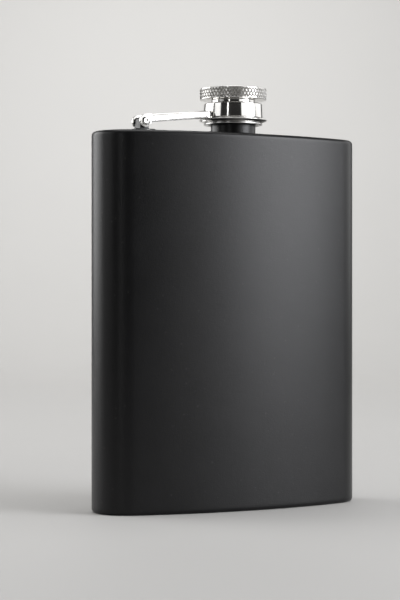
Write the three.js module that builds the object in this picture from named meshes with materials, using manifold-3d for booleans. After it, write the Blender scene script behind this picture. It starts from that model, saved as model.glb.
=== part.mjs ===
// A pocket hip flask with a captive screw cap, in millimetres, +Z up.
// The origin is on the resting plane, below the middle of the flask's own box. The convex front faces -Y,
// and the cap's hinge stands near the -X end of the top.

import * as THREE from "three";
import { mergeVertices } from "three/addons/utils/BufferGeometryUtils.js";
import Module from "manifold-3d";

const wasm = await Module();
wasm.setup();

// ---------- Driving dimensions ----------

const BODY_WIDTH = 95;
const BODY_HEIGHT = 121.5;
const BODY_THICKNESS = 23.4;
const BODY_BOW = 5; // how far the middle of the curved body stands forward of its two round ends
const SHEET = 0.6; // steel of the wrapped wall
const PLATE = 0.8; // steel of the pressed top and base
const PLATE_RIM = 2; // height of the plates' turned edge, which is welded to the wall
const EDGE_ROUND = 1.3; // outside radius of that turned edge

// Heights from here on are above the top plate.

const NECK_R = 7.3; // the smooth collar, and the crests of the thread
const NECK_ROOT_R = 6.8;
const NECK_BORE_R = 5.9;
const NECK_FLANGE_R = 9.4;
const NECK_FLANGE = 0.8;
const NECK_TOP = 8.4;
const THREAD_START = 4.4;
const THREAD_PITCH = 1.5;
const THREAD_TURNS = 2;
const THREAD_WIDTH = 0.8;

const PIN_X = -33.5;
const PIN_HEIGHT = 3.15;
const PIN_R = 0.8;
const PIN_RUNNING = 0.06; // play of the pin in the bracket
const PIN_HEAD_R = 1.35;
const PIN_HEAD = 0.5;

const BRACKET_LENGTH = 7.2;
const BRACKET_WIDTH = 7.2;
const BRACKET_PLATE = 0.6;
const KNUCKLE_R = 1.5;
const KNUCKLE_WIDTH = 4.2;

const ARM_WIDTH = 6;
const ARM_SHEET = 0.7;
const ARM_DEPTH = 2.3; // height of the folded sides
const ARM_END_TOP = 7.55; // the top of the arm beside the cap, from PIN_HEIGHT + EAR_R over the pin
const EAR_R = 2.05;
const WEB_START = 2.3; // the web begins this far past the pin, so that the arm folds right back
const SAUCER_R = 11.1;
const SAUCER_FLAT_R = 9.7;
const SAUCER_HOLE_R = 8.85;
const SAUCER_LOW = 4;
const SAUCER_HIGH = 5;
const SAUCER_SHEET = 0.6;

const SLEEVE_R = 8.6;
const SLEEVE_BORE_R = 7.75; // stands 0.45 clear of the neck, so the cap swings off it
const SLEEVE_LOW = 3.3;
const SLEEVE_LIP_R = 9.5; // holds the cap in the arm's saucer
const SLEEVE_LIP = 0.55;
const GROOVE_DEPTH = 0.4;

const SKIRT_R = 9.5;
const SKIRT_FLARE_R = 9.7;
const SKIRT_LOW = 5.5;
const SKIRT_HIGH = 10.3;
const SKIRT_ROOF = 0.7;

const STEM_R = 7.1;
const KNOB_LOW = 11.5;
const KNOB_HIGH = 15.1; // the edge of the crown
const KNOB_R = 10.9;
const KNOB_CROWN = 0.5; // rise of the domed crown above its edge
const KNOB_BEVEL = 0.35;
const TENON_R = 3;

const SEAL = 1.1;

const ROUND = 48; // sides of the large round parts
const SMALL_ROUND = 24;
const ARC_POINTS = 10; // curve divisions of the body's outline

// ---------- Places worked out from them ----------

const HALF_THICK = BODY_THICKNESS / 2;
const END_X = BODY_WIDTH / 2 - HALF_THICK; // centres of the two round ends
const MID_RADIUS = (END_X ** 2 + BODY_BOW ** 2) / (2 * BODY_BOW);
const MID_ANGLE = Math.asin(END_X / MID_RADIUS);
const CAP_Y = -BODY_BOW / 2; // the neck stands in the middle of the body's thickness
const PRESS = 0.02; // gap left between round pieces that are pressed or welded together
const ARM_REACH = -(SKIRT_FLARE_R + 0.4); // X where the arm stops short of the skirt

// ---------- Materials ----------

const coat = () => new THREE.MeshStandardMaterial({ color: 0x1d1d20, roughness: 0.55, metalness: 0.1 });
const polished = () => new THREE.MeshStandardMaterial({ color: 0xd9d9db, roughness: 0.12, metalness: 1 });
const turnedSteel = () => new THREE.MeshStandardMaterial({ color: 0xb9b9bb, roughness: 0.3, metalness: 1 });
const silicone = () => new THREE.MeshStandardMaterial({ color: 0xd8d4c8, roughness: 0.6, metalness: 0 });

// ---------- Solids ----------

// A closed geometry as a solid that can be joined and cut.
function solid(geometry) {
  geometry.deleteAttribute("normal");
  geometry.deleteAttribute("uv");
  const merged = mergeVertices(geometry, 1e-4);
  return new wasm.Manifold(
    new wasm.Mesh({
      numProp: 3,
      vertProperties: new Float32Array(merged.attributes.position.array),
      triVerts: new Uint32Array(merged.index.array),
    }),
  );
}

// A solid as a named mesh.
function piece(name, body, material) {
  const made = body.getMesh();
  const geometry = new THREE.BufferGeometry();
  geometry.setAttribute("position", new THREE.BufferAttribute(new Float32Array(made.vertProperties), 3));
  geometry.setIndex(new THREE.BufferAttribute(new Uint32Array(made.triVerts), 1));
  geometry.computeVertexNormals();
  const mesh = new THREE.Mesh(geometry, material);
  mesh.name = name;
  return mesh;
}

// A round solid about +Z from its half section, a list of [radius, height] that goes round anticlockwise.
function turned(points, sides = ROUND) {
  const section = points.map(([r, z]) => new THREE.Vector2(r, z));
  section.push(section[0].clone());
  return solid(new THREE.LatheGeometry(section, sides).rotateX(Math.PI / 2));
}

// A plain disc about +Z from height low to height high.
function disc(radius, low, high, sides = ROUND) {
  const round = new THREE.CylinderGeometry(radius, radius, high - low, sides);
  return solid(round.rotateX(Math.PI / 2).translate(0, 0, (low + high) / 2));
}

// A pin along Y, over the hinge's own axis, between two distances from the arm's middle.
function crossPin(radius, front, back, sides = SMALL_ROUND) {
  const pin = new THREE.CylinderGeometry(radius, radius, back - front, sides);
  return solid(pin.translate(PIN_X, (front + back) / 2, PIN_HEIGHT));
}

// A block between two corners.
function block(low, high) {
  const size = high.map((value, i) => value - low[i]);
  const middle = high.map((value, i) => (value + low[i]) / 2);
  return solid(new THREE.BoxGeometry(...size).translate(...middle));
}

// A plate cut to an outline of [x, z] points, between two distances along Y.
function sideCut(points, front, back) {
  const shape = new THREE.Shape(points.map(([x, z]) => new THREE.Vector2(x, z)));
  const plate = new THREE.ExtrudeGeometry(shape, { depth: back - front, bevelEnabled: false });
  return solid(plate.rotateX(Math.PI / 2).translate(0, back, 0));
}

// A ridge or groove that winds up about +Z. Its section is [radius, height] points, and at both ends it
// fades to the radius fadeTo.
function helix(section, fadeTo, start) {
  const sweep = THREAD_TURNS * 2 * Math.PI;
  const fadeAngle = Math.PI / 3;
  const steps = Math.round(THREAD_TURNS * 32);
  const shape = new THREE.Shape(section.map(([r, z]) => new THREE.Vector2(r, z)));
  const ridge = new THREE.ExtrudeGeometry(shape, { depth: sweep, steps, bevelEnabled: false });
  const place = ridge.getAttribute("position");
  for (let i = 0; i < place.count; i++) {
    const angle = sweep - place.getZ(i);
    const fade = Math.max(0.02, Math.min(1, angle / fadeAngle, (sweep - angle) / fadeAngle));
    const radius = fadeTo + (place.getX(i) - fadeTo) * fade;
    const height = start + place.getY(i) + (THREAD_PITCH * angle) / (2 * Math.PI);
    place.setXYZ(i, radius * Math.cos(angle), radius * Math.sin(angle), height);
  }
  return solid(ridge);
}

// ---------- Body ----------

// The flask's kidney outline, drawn in by inset: two concentric long arcs and two round ends.
function kidney(inset = 0) {
  const centreY = MID_RADIUS + CAP_Y;
  const endY = centreY - MID_RADIUS * Math.cos(MID_ANGLE);
  const frontR = MID_RADIUS + HALF_THICK - inset;
  const backR = MID_RADIUS - HALF_THICK + inset;
  const endR = HALF_THICK - inset;
  const first = -Math.PI / 2 - MID_ANGLE;
  const last = -Math.PI / 2 + MID_ANGLE;
  const shape = new THREE.Shape();
  shape.absarc(0, centreY, frontR, first, last, false);
  shape.absarc(END_X, endY, endR, last, last + Math.PI, false);
  shape.absarc(0, centreY, backR, last, first, true);
  shape.absarc(-END_X, endY, endR, first - Math.PI, first, false);
  return shape;
}

// The outline raised from height low to height high.
function raised(inset, low, high) {
  const options = { depth: high - low, bevelEnabled: false, curveSegments: ARC_POINTS };
  return solid(new THREE.ExtrudeGeometry(kidney(inset), options).translate(0, 0, low));
}

// A pressed plate with a rounded, turned-up edge: its flat outer face is on z = 0 and its rim upwards.
function pressedPlate() {
  const blank = new THREE.ExtrudeGeometry(kidney(), {
    depth: 2 * PLATE_RIM,
    bevelEnabled: true,
    bevelSize: EDGE_ROUND,
    bevelOffset: -EDGE_ROUND,
    bevelThickness: EDGE_ROUND,
    bevelSegments: 4,
    curveSegments: ARC_POINTS,
  });
  return solid(blank.translate(0, 0, EDGE_ROUND))
    .subtract(raised(-1, PLATE_RIM, 4 * PLATE_RIM))
    .subtract(raised(PLATE, PLATE, PLATE_RIM + 1));
}

const wall = raised(0, PLATE_RIM, BODY_HEIGHT - PLATE_RIM).subtract(raised(SHEET, 0, BODY_HEIGHT));

const basePlate = pressedPlate();

const topPlate = pressedPlate()
  .mirror([0, 0, 1])
  .subtract(disc(NECK_R + PRESS, -PLATE - 1, 1).translate([0, CAP_Y, 0]))
  .translate([0, 0, BODY_HEIGHT]);

// ---------- Neck and hinge bracket ----------

const neck = turned([
  [NECK_BORE_R, -PLATE - NECK_FLANGE],
  [NECK_FLANGE_R, -PLATE - NECK_FLANGE],
  [NECK_FLANGE_R, -PLATE],
  [NECK_R, -PLATE],
  [NECK_R, THREAD_START - 0.6],
  [NECK_ROOT_R, THREAD_START - 0.3],
  [NECK_ROOT_R, NECK_TOP - 0.3],
  [NECK_ROOT_R - 0.3, NECK_TOP],
  [NECK_BORE_R, NECK_TOP],
]).add(
  helix(
    [
      [NECK_ROOT_R - 0.4, -THREAD_WIDTH / 2],
      [NECK_ROOT_R, -THREAD_WIDTH / 2],
      [NECK_R, -THREAD_WIDTH / 6],
      [NECK_R, THREAD_WIDTH / 6],
      [NECK_ROOT_R, THREAD_WIDTH / 2],
      [NECK_ROOT_R - 0.4, THREAD_WIDTH / 2],
    ],
    NECK_ROOT_R - 0.4,
    THREAD_START + 0.3,
  ),
);

const bracket = block(
  [PIN_X - BRACKET_LENGTH / 2, -BRACKET_WIDTH / 2, 0],
  [PIN_X + BRACKET_LENGTH / 2, BRACKET_WIDTH / 2, BRACKET_PLATE],
)
  .add(
    block(
      [PIN_X - KNUCKLE_R, -KNUCKLE_WIDTH / 2, BRACKET_PLATE / 2],
      [PIN_X + KNUCKLE_R, KNUCKLE_WIDTH / 2, PIN_HEIGHT],
    ),
  )
  .add(crossPin(KNUCKLE_R, -KNUCKLE_WIDTH / 2, KNUCKLE_WIDTH / 2))
  .subtract(crossPin(PIN_R + PIN_RUNNING, -KNUCKLE_WIDTH, KNUCKLE_WIDTH));

// ---------- Arm and pin ----------

const earTop = PIN_HEIGHT + EAR_R;
const slope = (ARM_END_TOP - earTop) / (ARM_REACH - PIN_X);

// Height of the arm's top at x.
const armTop = (x) => earTop + slope * (x - PIN_X);

// One folded side: its ear, its long edge and the short leg that drops to the saucer.
function armSide(front, back) {
  const legX = -SAUCER_R - 0.4;
  const outline = [
    [PIN_X, armTop(PIN_X)],
    [PIN_X, armTop(PIN_X) - ARM_DEPTH],
    [legX, armTop(legX) - ARM_DEPTH],
    [legX + 0.7, SAUCER_LOW + 0.7],
    [ARM_REACH + 1, SAUCER_LOW + 0.7],
    [ARM_REACH + 1, armTop(ARM_REACH + 1)],
  ];
  return sideCut(outline, front, back).add(crossPin(EAR_R, front, back));
}

const web = sideCut(
  [
    [PIN_X + WEB_START, armTop(PIN_X + WEB_START)],
    [PIN_X + WEB_START, armTop(PIN_X + WEB_START) - ARM_SHEET],
    [-SAUCER_R - 0.4, armTop(-SAUCER_R) - ARM_SHEET],
    [-SAUCER_R + 0.2, SAUCER_HIGH - 0.7],
    [ARM_REACH + 1, SAUCER_HIGH - 0.7],
    [ARM_REACH + 1, armTop(ARM_REACH + 1)],
  ],
  -ARM_WIDTH / 2,
  ARM_WIDTH / 2,
);

const saucer = turned([
  [SAUCER_HOLE_R, SAUCER_LOW],
  [SAUCER_FLAT_R - 0.1, SAUCER_LOW],
  [SAUCER_R, SAUCER_HIGH - SAUCER_SHEET],
  [SAUCER_R, SAUCER_HIGH],
  [SAUCER_R - 0.5, SAUCER_HIGH],
  [SAUCER_FLAT_R, SAUCER_LOW + SAUCER_SHEET],
  [SAUCER_HOLE_R, SAUCER_LOW + SAUCER_SHEET],
]);

const arm = armSide(-ARM_WIDTH / 2, ARM_SHEET - ARM_WIDTH / 2)
  .add(armSide(ARM_WIDTH / 2 - ARM_SHEET, ARM_WIDTH / 2))
  .add(web)
  .subtract(disc(-ARM_REACH, SAUCER_LOW + SAUCER_SHEET, KNOB_HIGH))
  .subtract(disc(SAUCER_FLAT_R, 0, KNOB_HIGH))
  .add(saucer)
  .subtract(crossPin(PIN_R + PRESS, -ARM_WIDTH, ARM_WIDTH));

const headInner = ARM_WIDTH / 2 + PRESS;
const pin = crossPin(PIN_R, -headInner - PIN_HEAD / 2, headInner + PIN_HEAD / 2)
  .add(crossPin(PIN_HEAD_R, -headInner - PIN_HEAD, -headInner))
  .add(crossPin(PIN_HEAD_R, headInner, headInner + PIN_HEAD));

// ---------- Cap ----------

const sleeve = turned([
  [SLEEVE_BORE_R, SLEEVE_LOW],
  [SLEEVE_LIP_R, SLEEVE_LOW],
  [SLEEVE_LIP_R, SLEEVE_LOW + SLEEVE_LIP],
  [SLEEVE_R, SLEEVE_LOW + SLEEVE_LIP],
  [SLEEVE_R, SKIRT_HIGH - SKIRT_ROOF],
  [SLEEVE_BORE_R, SKIRT_HIGH - SKIRT_ROOF],
]).subtract(
  helix(
    [
      [SLEEVE_BORE_R - 0.3, -THREAD_WIDTH / 2],
      [SLEEVE_BORE_R, -THREAD_WIDTH / 2],
      [SLEEVE_BORE_R + GROOVE_DEPTH, -THREAD_WIDTH / 6],
      [SLEEVE_BORE_R + GROOVE_DEPTH, THREAD_WIDTH / 6],
      [SLEEVE_BORE_R, THREAD_WIDTH / 2],
      [SLEEVE_BORE_R - 0.3, THREAD_WIDTH / 2],
    ],
    SLEEVE_BORE_R - 0.3,
    THREAD_START,
  ),
);

const skirt = turned([
  [SLEEVE_R + PRESS, SKIRT_LOW],
  [SKIRT_FLARE_R, SKIRT_LOW],
  [SKIRT_R, SKIRT_HIGH - 0.4],
  [SKIRT_R - 0.4, SKIRT_HIGH],
  [TENON_R + PRESS, SKIRT_HIGH],
  [TENON_R + PRESS, SKIRT_HIGH - SKIRT_ROOF],
  [SLEEVE_R + PRESS, SKIRT_HIGH - SKIRT_ROOF],
]);

const knob = turned([
  [0, SKIRT_HIGH - SKIRT_ROOF],
  [TENON_R, SKIRT_HIGH - SKIRT_ROOF],
  [TENON_R, SKIRT_HIGH],
  [STEM_R, SKIRT_HIGH],
  [STEM_R, KNOB_LOW],
  [KNOB_R - KNOB_BEVEL, KNOB_LOW],
  [KNOB_R, KNOB_LOW + KNOB_BEVEL],
  [KNOB_R, KNOB_HIGH - KNOB_BEVEL],
  [KNOB_R - KNOB_BEVEL, KNOB_HIGH],
  [KNOB_R * 0.8, KNOB_HIGH + KNOB_CROWN * 0.36],
  [KNOB_R * 0.4, KNOB_HIGH + KNOB_CROWN * 0.84],
  [0, KNOB_HIGH + KNOB_CROWN],
]);

const seal = disc(SLEEVE_BORE_R - PRESS, SKIRT_HIGH - SKIRT_ROOF - SEAL, SKIRT_HIGH - SKIRT_ROOF);

// ---------- The flask ----------

// A piece of the neck, hinge or cap, raised to the top plate and over to the neck's place.
const onTop = (body) => body.translate([0, CAP_Y, BODY_HEIGHT]);

const flask = new THREE.Group();
flask.name = "hip_flask";
flask.add(
  piece("body_wall", wall, coat()),
  piece("base_plate", basePlate, coat()),
  piece("top_plate", topPlate, coat()),
  piece("neck_tube", onTop(neck), coat()),
  piece("hinge_bracket", onTop(bracket), coat()),
  piece("hinge_pin", onTop(pin), polished()),
  piece("captive_arm", onTop(arm), polished()),
  piece("cap_sleeve", onTop(sleeve), turnedSteel()),
  piece("cap_skirt", onTop(skirt), polished()),
  piece("cap_knob", onTop(knob), polished()),
  piece("cap_seal", onTop(seal), silicone()),
);

export default flask;
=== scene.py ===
"""A matte black curved hip flask with a captive, knurled steel screw cap.

Lengths are in metres, +Z is up and the convex front faces -Y. Every piece is built around the fixed
frame of the flask, and rides on one of its three bodies: the flask, the hinged arm and the cap.
"""

import logging
import math
from dataclasses import dataclass
from enum import Enum

import bmesh
import bpy
from mathutils import Matrix, Vector


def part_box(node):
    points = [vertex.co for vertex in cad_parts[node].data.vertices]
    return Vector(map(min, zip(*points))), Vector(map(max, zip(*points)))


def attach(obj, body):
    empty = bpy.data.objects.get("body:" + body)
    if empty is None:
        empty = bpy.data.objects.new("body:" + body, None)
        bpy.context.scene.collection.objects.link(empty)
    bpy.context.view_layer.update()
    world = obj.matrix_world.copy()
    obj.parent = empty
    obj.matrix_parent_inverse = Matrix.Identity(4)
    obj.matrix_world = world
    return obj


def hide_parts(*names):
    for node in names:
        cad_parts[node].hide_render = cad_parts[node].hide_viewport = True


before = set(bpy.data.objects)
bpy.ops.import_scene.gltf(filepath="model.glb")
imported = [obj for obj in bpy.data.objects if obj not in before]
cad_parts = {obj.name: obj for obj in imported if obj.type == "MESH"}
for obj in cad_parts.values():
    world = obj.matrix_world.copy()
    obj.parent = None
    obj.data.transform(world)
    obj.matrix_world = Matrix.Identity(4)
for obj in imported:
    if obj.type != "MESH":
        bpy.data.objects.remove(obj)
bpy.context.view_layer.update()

MM = 0.001
SMOOTH_BELOW = math.radians(32)
SMOOTH_THREAD = math.radians(60)
SPECKLESS_SHARE = 0.93

# The cap's axis stands on the top plate, and heights on the neck, hinge and cap are counted from there.
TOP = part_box("top_plate")[1].z
KNOB_LOW, KNOB_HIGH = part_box("cap_knob")
KNOB_RADIUS = (KNOB_HIGH.x - KNOB_LOW.x) / 2
CAP_AXIS = Vector(((KNOB_LOW.x + KNOB_HIGH.x) / 2, (KNOB_LOW.y + KNOB_HIGH.y) / 2, TOP))
ALONG_Y = Matrix.Rotation(-math.pi / 2, 3, "X")
FLASK_MIDDLE = (0.0, 0.0, 0.1)

Outline = list[tuple[float, float]]
Ring = list[bmesh.types.BMVert]
Colour = tuple[float, float, float, float]
Triple = tuple[float, float, float]
Socket = bpy.types.NodeSocket
Node = bpy.types.Node
Tree = bpy.types.NodeTree
Object = bpy.types.Object

log = logging.getLogger("hip_flask")


class Part(Enum):
    """The three bodies that move against one another."""

    FLASK = "flask"
    ARM = "arm"
    CAP = "cap"


class Slot(Enum):
    """The material slots that finishes are listed under."""

    BLACK_COAT = "black_coat"
    POLISHED_STEEL = "polished_steel"
    TURNED_STEEL = "turned_steel"
    SILICONE = "silicone"


class Marks(Enum):
    """Which way the polishing marks run on bare steel."""

    ROUND_THE_CAP = "round_the_cap"
    ALONG_THE_ARM = "along_the_arm"


# ---------------------------------------------------------------- node trees


class Wiring:
    """Adds nodes to one tree and joins them up."""

    def __init__(self, tree: Tree) -> None:
        """Keeps the tree that is being wired."""
        self.tree = tree

    def add(self, kind: str, inputs: dict | None = None, **settings: object) -> Node:
        """Adds one node.

        Args:
            kind: Blender's name for the node type.
            inputs: what each input takes, a plain value or another node's output.
            settings: the node's own properties.

        Returns:
            The new node.
        """
        node = self.tree.nodes.new(kind)
        for name, value in settings.items():
            setattr(node, name, value)
        for key, value in (inputs or {}).items():
            self.feed(value, node.inputs[key])
        return node

    def feed(self, value: object, socket: Socket) -> None:
        """Gives an input a plain value or links it to another node's output."""
        if isinstance(value, Socket):
            self.tree.links.new(value, socket)
        else:
            socket.default_value = value

    def times(self, first: object, second: object) -> Socket:
        """Multiplies two values."""
        return self.math("MULTIPLY", first, second)

    def plus(self, first: object, second: object) -> Socket:
        """Adds two values."""
        return self.math("ADD", first, second)

    def mix(self, share: object, first: object, second: object) -> Socket:
        """Blends two colours, where the share is how much there is of the second."""
        return self.add("ShaderNodeMix", {0: share, 6: first, 7: second}, data_type="RGBA").outputs[2]

    def combine(self, *values: object) -> Socket:
        """Makes a vector of up to three values."""
        return self.add("ShaderNodeCombineXYZ", dict(enumerate(values))).outputs[0]

    def split(self, vector: object) -> bpy.types.bpy_prop_collection:
        """Takes a vector apart."""
        return self.add("ShaderNodeSeparateXYZ", {0: vector}).outputs

    def bump(self, shader: Node, height: object, depth: float) -> None:
        """Raises a shader's surface where the height is great."""
        node = self.add("ShaderNodeBump", {"Height": height, "Strength": 1.0, "Distance": depth})
        self.feed(node.outputs[0], shader.inputs["Normal"])

    def math(self, operation: str, *values: object, clamp: bool = False) -> Socket:
        """Adds a Math node on up to three values.

        Args:
            operation: the node's operation.
            values: plain numbers or outputs.
            clamp: keeps the answer between 0 and 1.

        Returns:
            The node's output.
        """
        node = self.add("ShaderNodeMath", dict(enumerate(values)), operation=operation)
        node.use_clamp = clamp
        return node.outputs[0]

    def spread(self, value: object, low: float, high: float, to_low: float, to_high: float) -> Socket:
        """Maps a value from one range to another, held at its ends.

        Args:
            value: the output to map.
            low: value that gives to_low.
            high: value that gives to_high.
            to_low: lowest answer.
            to_high: highest answer.

        Returns:
            The mapped output.
        """
        inputs = {0: value, 1: low, 2: high, 3: to_low, 4: to_high}
        return self.add("ShaderNodeMapRange", inputs, clamp=True).outputs[0]

    def noise(self, vector: object, scale: float, detail: float = 2.0, rough: float = 0.5) -> Socket:
        """Adds a noise texture.

        Args:
            vector: where it is read.
            scale: features in a metre.
            detail: octaves.
            rough: weight of the finer octaves.

        Returns:
            Its grey output.
        """
        inputs = {"Vector": vector, "Scale": scale, "Detail": detail, "Roughness": rough}
        return self.add("ShaderNodeTexNoise", inputs).outputs["Fac"]


def socket(tree: Tree, name: str, kind: str, value: object = None, into: bool = True) -> str:
    """Adds a named input or output to a node group.

    Args:
        tree: the group.
        name: the socket's name.
        kind: Float, Int, Vector, Color, Geometry or Material.
        value: the input's default.
        into: whether it is an input.

    Returns:
        The socket's identifier.
    """
    side = "INPUT" if into else "OUTPUT"
    made = tree.interface.new_socket(name=name, in_out=side, socket_type="NodeSocket" + kind)
    if value is not None:
        made.default_value = value
    return made.identifier


# ---------------------------------------------------------------- effects that finishes share


class Effects:
    """Shader groups that more than one finish uses."""

    def __init__(self) -> None:
        """Builds each group once."""
        self.mottle = self._mottle()
        self.marks = self._marks()
        self.hairlines = self._hairlines()

    @staticmethod
    def _group(name: str, inputs: dict[str, float], outputs: list[str]) -> tuple[Wiring, dict, dict]:
        """Starts a group of Float sockets.

        Args:
            name: the group's name.
            inputs: names and defaults of its inputs, apart from Position, which it always has.
            outputs: names of its outputs.

        Returns:
            Its wiring, its input sockets by name and its output sockets by name.
        """
        tree = bpy.data.node_groups.new(name, "ShaderNodeTree")
        socket(tree, "Position", "Vector")
        for key, value in inputs.items():
            socket(tree, key, "Float", value)
        for key in outputs:
            socket(tree, key, "Float", into=False)
        wiring = Wiring(tree)
        given = wiring.add("NodeGroupInput").outputs
        answers = wiring.add("NodeGroupOutput").inputs
        return wiring, given, answers

    def _mottle(self) -> Tree:
        """Uneven tone at two sizes, with rare specks.

        Returns:
            The group: Tone and Fine are soft greys, Specks is a mask of small dots.
        """
        inputs = {"Broad": 60.0, "Fine": 1500.0, "Speck": 900.0}
        wiring, given, answers = self._group("mottle", inputs, ["Tone", "Fine", "Specks"])
        broad = wiring.noise(given["Position"], given["Broad"], 3.0, 0.6)
        fine = wiring.noise(given["Position"], given["Fine"], 3.0, 0.6)
        dots = wiring.add("ShaderNodeTexVoronoi", {"Vector": given["Position"], "Scale": given["Speck"]})
        drawn = wiring.math("FRACT", wiring.times(dots.outputs["Color"], 7.0))
        chance = wiring.math("GREATER_THAN", drawn, SPECKLESS_SHARE)
        near = wiring.spread(dots.outputs["Distance"], 0.1, 0.22, 1.0, 0.0)
        wiring.feed(wiring.spread(broad, 0.3, 0.7, 0.0, 1.0), answers["Tone"])
        wiring.feed(wiring.spread(fine, 0.25, 0.75, 0.0, 1.0), answers["Fine"])
        wiring.feed(wiring.times(near, chance), answers["Specks"])
        return wiring.tree

    def _marks(self) -> Tree:
        """Fine lines where the Position varies fast, long where it varies slowly.

        Returns:
            The group: Height for bump and Streak for roughness.
        """
        wiring, given, answers = self._group("polish_marks", {"Lines": 9000.0}, ["Height", "Streak"])
        fine = wiring.noise(given["Position"], given["Lines"], 2.0, 0.6)
        coarse = wiring.noise(given["Position"], wiring.times(given["Lines"], 0.17), 2.0, 0.5)
        wiring.feed(fine, answers["Height"])
        wiring.feed(wiring.times(fine, coarse), answers["Streak"])
        return wiring.tree

    def _hairlines(self) -> Tree:
        """Sparse handling scratches in two directions.

        Returns:
            The group: Mask is 1 in a scratch.
        """
        wiring, given, answers = self._group("hairlines", {"Scale": 130.0}, ["Mask"])
        found = []
        for turn, stretch in ((0.6, 0.08), (-0.9, 0.05)):
            place = wiring.add(
                "ShaderNodeMapping",
                {"Vector": given["Position"], "Rotation": (0.3, turn, turn), "Scale": (1.0, stretch, 1.0)},
            )
            cells = wiring.add(
                "ShaderNodeTexVoronoi",
                {"Vector": place.outputs[0], "Scale": given["Scale"]},
                feature="DISTANCE_TO_EDGE",
            )
            found.append(wiring.spread(cells.outputs["Distance"], 0.0, 0.012, 1.0, 0.0))
        both = wiring.math("MAXIMUM", *found)
        gaps = wiring.spread(wiring.noise(given["Position"], 90.0), 0.52, 0.62, 0.0, 1.0)
        wiring.feed(wiring.times(both, gaps), answers["Mask"])
        return wiring.tree


def shade(colour: Colour, share: float) -> Colour:
    """Darkens a colour."""
    return tuple(channel * share for channel in colour[:3]) + (1.0,)


@dataclass(frozen=True)
class Material:
    """What every finish has: a name, a colour and a roughness range."""

    name: str
    slot: Slot
    colour: Colour
    roughness: tuple[float, float]

    def start(self) -> tuple[bpy.types.Material, Wiring, Node, Socket]:
        """Makes an empty material with its shader.

        Returns:
            The material, its wiring, its Principled shader and the object's own coordinates.
        """
        made = bpy.data.materials.new(self.name)
        made.use_nodes = True
        made.diffuse_color = self.colour
        wiring = Wiring(made.node_tree)
        shader = made.node_tree.nodes["Principled BSDF"]
        position = wiring.add("ShaderNodeTexCoord").outputs["Object"]
        return made, wiring, shader, position

    def finish(self, effects: Effects) -> "Finish":
        """Builds the material and pairs it with its slot."""
        return Finish(self.slot, self.build(effects))

    @staticmethod
    def group(wiring: Wiring, tree: Tree, **inputs: object) -> Node:
        """Places a shared effect in this material with its own values."""
        return wiring.add("ShaderNodeGroup", inputs, node_tree=tree)


@dataclass(frozen=True)
class PowderCoat(Material):
    """Matte black powder coat: a fine even grain, slightly uneven tone and a little dust."""

    grain: float = 2600.0
    grain_depth: float = 0.000016
    peel: float = 800.0
    lift: Colour = (0.0042, 0.0042, 0.0046, 1.0)
    dust: Colour = (0.09, 0.088, 0.085, 1.0)
    dustiness: float = 0.12
    scuff: float = -0.015
    ior: float = 1.34

    def build(self, effects: Effects) -> bpy.types.Material:
        """Builds the coat.

        Args:
            effects: the shared shader groups.

        Returns:
            The material.
        """
        made, wiring, shader, position = self.start()
        mottle = self.group(wiring, effects.mottle, Position=position, Fine=self.grain, Speck=520.0)
        hair = self.group(wiring, effects.hairlines, Position=position, Scale=42.0)
        tone = wiring.mix(mottle.outputs["Tone"], self.colour, self.lift)
        specks = wiring.times(mottle.outputs["Specks"], self.dustiness)
        wiring.feed(wiring.mix(specks, tone, self.dust), shader.inputs["Base Color"])
        low, high = self.roughness
        rough = wiring.spread(mottle.outputs["Fine"], 0.0, 1.0, low, high)
        rough = wiring.plus(rough, wiring.times(hair.outputs["Mask"], self.scuff))
        wiring.feed(rough, shader.inputs["Roughness"])
        peel = wiring.noise(position, self.peel, 2.0, 0.5)
        height = wiring.plus(mottle.outputs["Fine"], wiring.times(peel, 0.7))
        wiring.bump(shader, height, self.grain_depth)
        shader.inputs["IOR"].default_value = self.ior
        return made


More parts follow.
